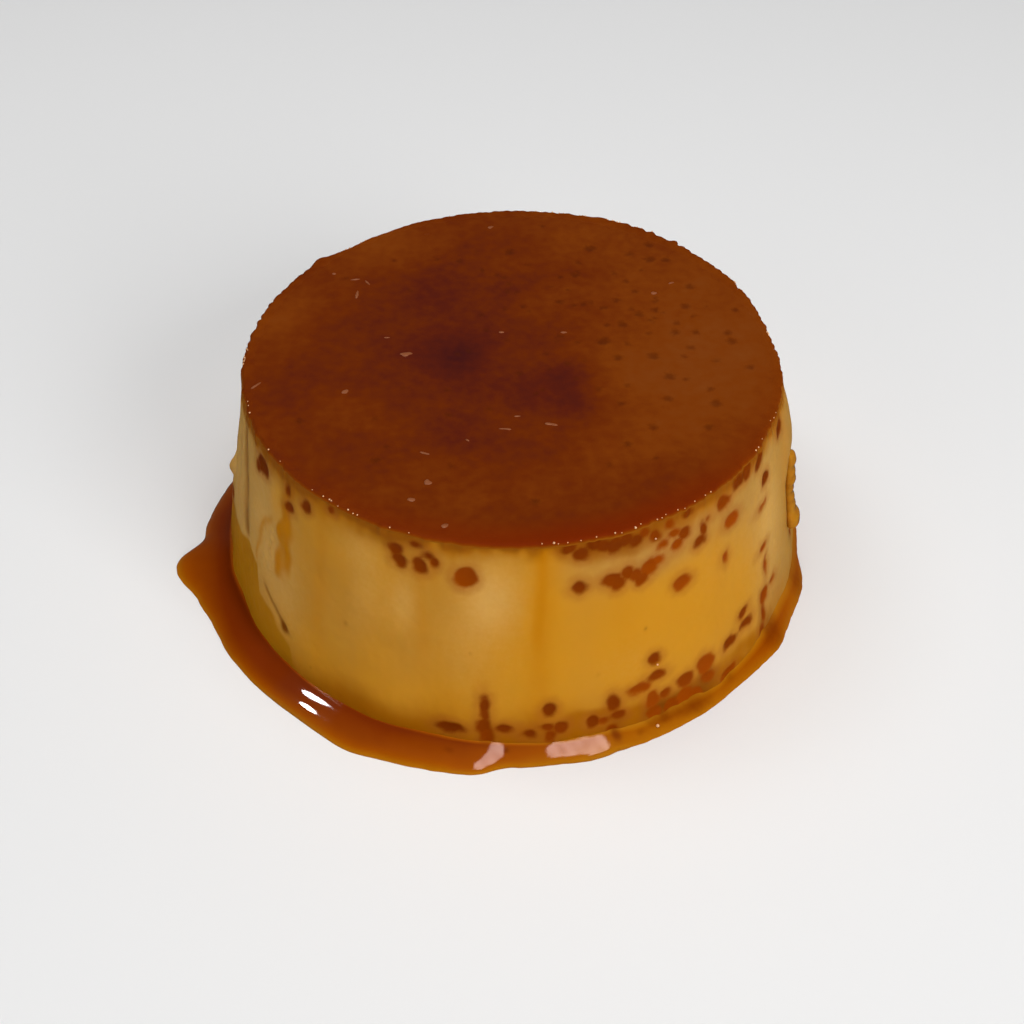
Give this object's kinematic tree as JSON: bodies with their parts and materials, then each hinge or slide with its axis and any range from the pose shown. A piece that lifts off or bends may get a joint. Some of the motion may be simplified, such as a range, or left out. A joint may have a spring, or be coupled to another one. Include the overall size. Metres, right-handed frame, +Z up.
{
  "type": "creme caramel flan",
  "caption": "Single portion of set custard turned out of a tapered mould, with a glossy caramel top, pitted sides and a pool of caramel sauce round its foot",
  "frame": {"origin": "centre of the custard's flat underside, on the surface that the flan stands on", "axes": "+Z is up, out of the caramel top; -Y is the front; the tongue of sauce runs out towards -X"},
  "size_m": [0.0958, 0.0937, 0.034],
  "materials": {
    "custard": "moist set egg custard, amber yellow, softly translucent, with caramel-filled pits and runs",
    "caramel": "dark caramel skin, wet and glossy, clouded with darker patches",
    "caramel_sauce": "clear reddish-brown caramel syrup, wet and glossy, paler where it is thin"
  },
  "bodies": {
    "root": {"custard": "custard", "caramel_top": "caramel", "caramel_pool": "caramel_sauce"}
  },
  "joints": []
}
